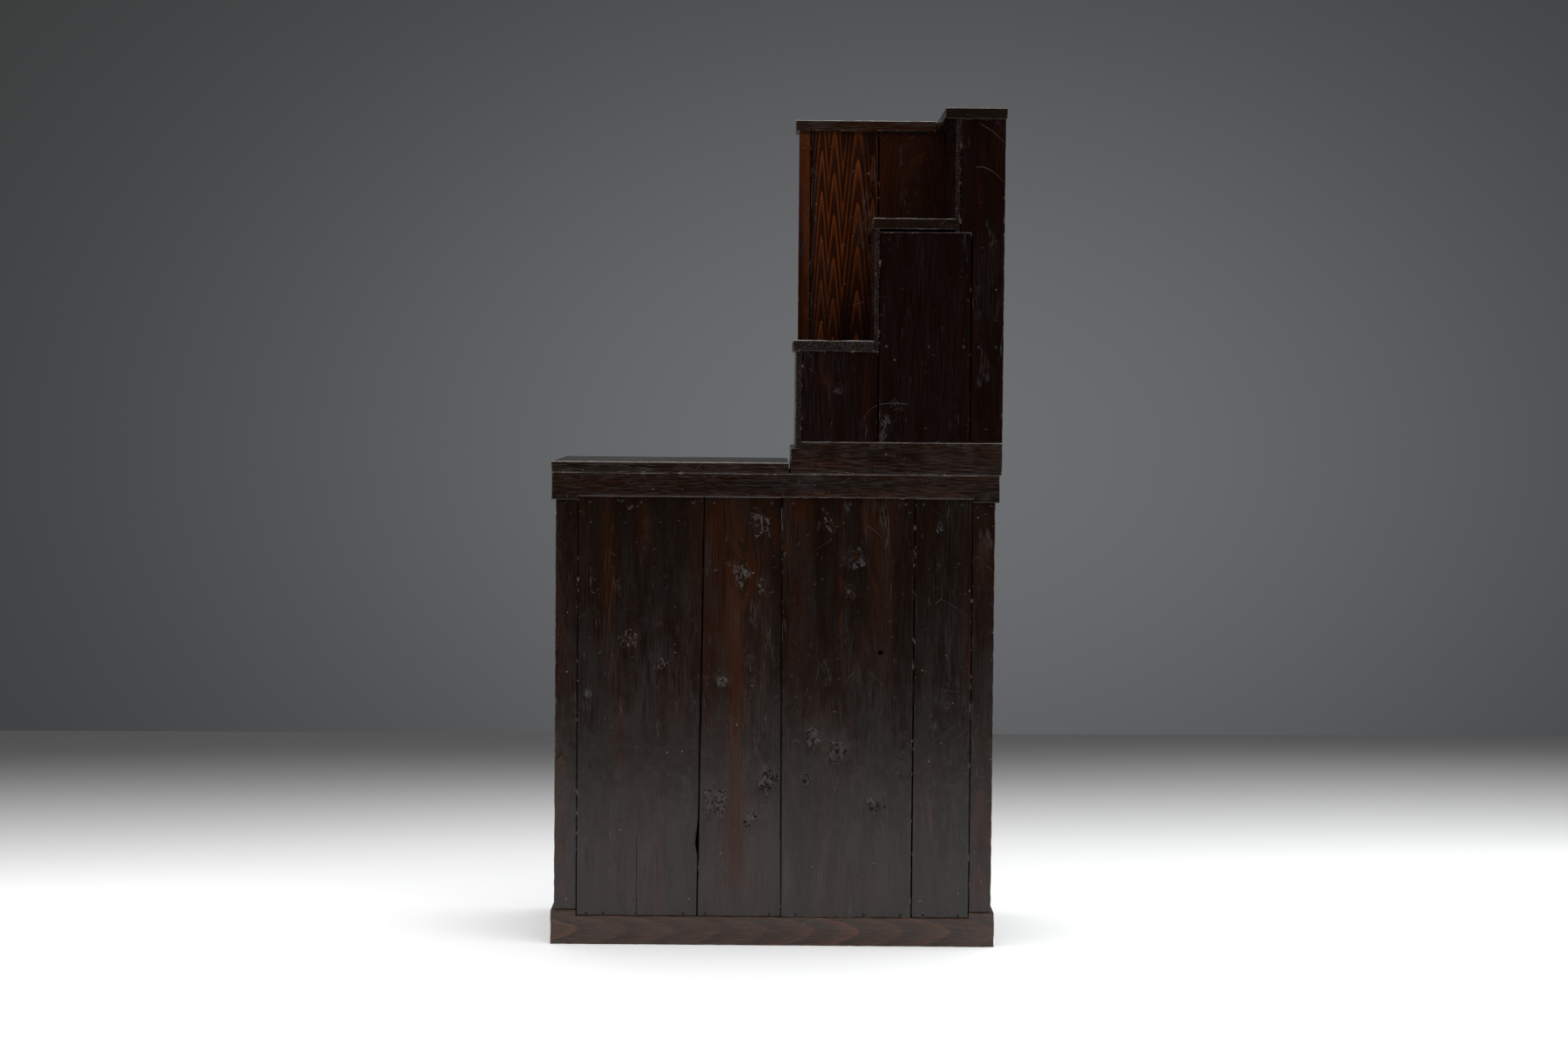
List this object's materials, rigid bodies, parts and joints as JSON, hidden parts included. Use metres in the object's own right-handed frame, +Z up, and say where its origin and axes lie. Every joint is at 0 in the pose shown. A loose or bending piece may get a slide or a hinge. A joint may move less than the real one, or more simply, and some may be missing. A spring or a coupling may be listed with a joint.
{
  "type": "step chest tansu",
  "caption": "Step chest in two sections: a square cupboard chest with a plank back and, on its top, a narrower chest whose treads climb to one side against a tall wall.",
  "frame": {"origin": "centre of the underside of the box round the whole chest, on the floor", "axes": "+X to the right as seen from the planked back, the way the steps climb; +Y from the planked back towards the drawer front; +Z up"},
  "size_m": [1.007, 0.489, 1.873],
  "materials": {
    "frame_wood": "dark lacquered softwood rails and posts, worn to red-brown at the edges",
    "plank_wood": "dark lacquered cedar boards with upright grain and knots, satin",
    "step_wood": "dark lacquered boards, worn at the nosings, satin",
    "flame_wood": "amber lacquer over cedar with flame grain, satin",
    "inner_wood": "bare aged cedar, dry",
    "front_wood": "dark lacquered cedar fronts, satin",
    "iron": "forged iron, blackened"
  },
  "bodies": {
    "root": {"base_rail_back": "frame_wood", "top_rail_back": "frame_wood", "base_rail_front": "frame_wood", "top_rail_front": "frame_wood", "side_rails": "frame_wood", "back_posts": "frame_wood", "front_posts": "frame_wood", "front_rail": "frame_wood", "drawer_divider": "frame_wood", "upper_base_rail_back": "frame_wood", "upper_base_frame": "frame_wood", "upper_front_rails": "frame_wood", "back_plank_1": "plank_wood", "back_plank_2": "plank_wood", "back_plank_3": "plank_wood", "back_plank_4": "plank_wood", "side_panels": "plank_wood", "back_panel_left": "plank_wood", "back_panel_middle": "plank_wood", "back_board_right": "plank_wood", "riser_lower": "plank_wood", "riser_middle": "plank_wood", "riser_upper": "plank_wood", "upper_left_side": "plank_wood", "upper_right_side": "plank_wood", "top_board": "step_wood", "tread_lower": "step_wood", "tread_middle": "step_wood", "tread_top": "step_wood", "cap_board": "step_wood", "wall_edge_board": "flame_wood", "wall_flame_board": "flame_wood", "wall_dark_board": "flame_wood", "floor_board": "inner_wood", "back_cross_rail": "inner_wood", "cupboard_shelf": "inner_wood", "runners_and_cleats": "inner_wood", "upper_floor": "inner_wood", "upper_shelf": "inner_wood", "nails": "iron"},
    "lower_left_drawer": {"lower_left_drawer_front": "front_wood", "lower_left_drawer_tray": "inner_wood", "lower_left_bail_posts": "iron"},
    "lower_left_bail": {"lower_left_bail": "iron"},
    "lower_right_drawer": {"lower_right_drawer_front": "front_wood", "lower_right_drawer_tray": "inner_wood", "lower_right_bail_posts": "iron"},
    "lower_right_bail": {"lower_right_bail": "iron"},
    "upper_drawer": {"upper_drawer_front": "front_wood", "upper_drawer_tray": "inner_wood", "upper_bail_posts": "iron"},
    "upper_bail": {"upper_bail": "iron"},
    "lower_left_door": {"lower_left_door_frame": "front_wood", "lower_left_door_panel": "front_wood"},
    "lower_right_door": {"lower_right_door_frame": "front_wood", "lower_right_door_panel": "front_wood"},
    "upper_left_door": {"upper_left_door_frame": "front_wood", "upper_left_door_panel": "front_wood"},
    "upper_right_door": {"upper_right_door_frame": "front_wood", "upper_right_door_panel": "front_wood"}
  },
  "joints": [
    {"name": "lower_left_drawer_slide", "type": "slide", "parent": "root", "child": "lower_left_drawer", "axis": [0, 1, 0], "range_m": [0, 0.3]},
    {"name": "lower_left_bail_swing", "type": "hinge", "parent": "lower_left_drawer", "child": "lower_left_bail", "pos_m": [-0.231, 0.2385, 0.9255], "axis": [1, 0, 0], "range_deg": [0, 95]},
    {"name": "lower_right_drawer_slide", "type": "slide", "parent": "root", "child": "lower_right_drawer", "axis": [0, 1, 0], "range_m": [0, 0.3]},
    {"name": "lower_right_bail_swing", "type": "hinge", "parent": "lower_right_drawer", "child": "lower_right_bail", "pos_m": [0.224, 0.2385, 0.9255], "axis": [1, 0, 0], "range_deg": [0, 95]},
    {"name": "upper_drawer_slide", "type": "slide", "parent": "root", "child": "upper_drawer", "axis": [0, 1, 0], "range_m": [0, 0.3]},
    {"name": "upper_bail_swing", "type": "hinge", "parent": "upper_drawer", "child": "upper_bail", "pos_m": [0.2685, 0.2385, 1.2425], "axis": [1, 0, 0], "range_deg": [0, 95]},
    {"name": "lower_left_door_slide", "type": "slide", "parent": "root", "child": "lower_left_door", "axis": [1, 0, 0], "range_m": [0, 0.4194]},
    {"name": "lower_right_door_slide", "type": "slide", "parent": "root", "child": "lower_right_door", "axis": [-1, 0, 0], "range_m": [0, 0.4194]},
    {"name": "upper_left_door_slide", "type": "slide", "parent": "root", "child": "upper_left_door", "axis": [1, 0, 0], "range_m": [0, 0.1919]},
    {"name": "upper_right_door_slide", "type": "slide", "parent": "root", "child": "upper_right_door", "axis": [-1, 0, 0], "range_m": [0, 0.1919]}
  ]
}
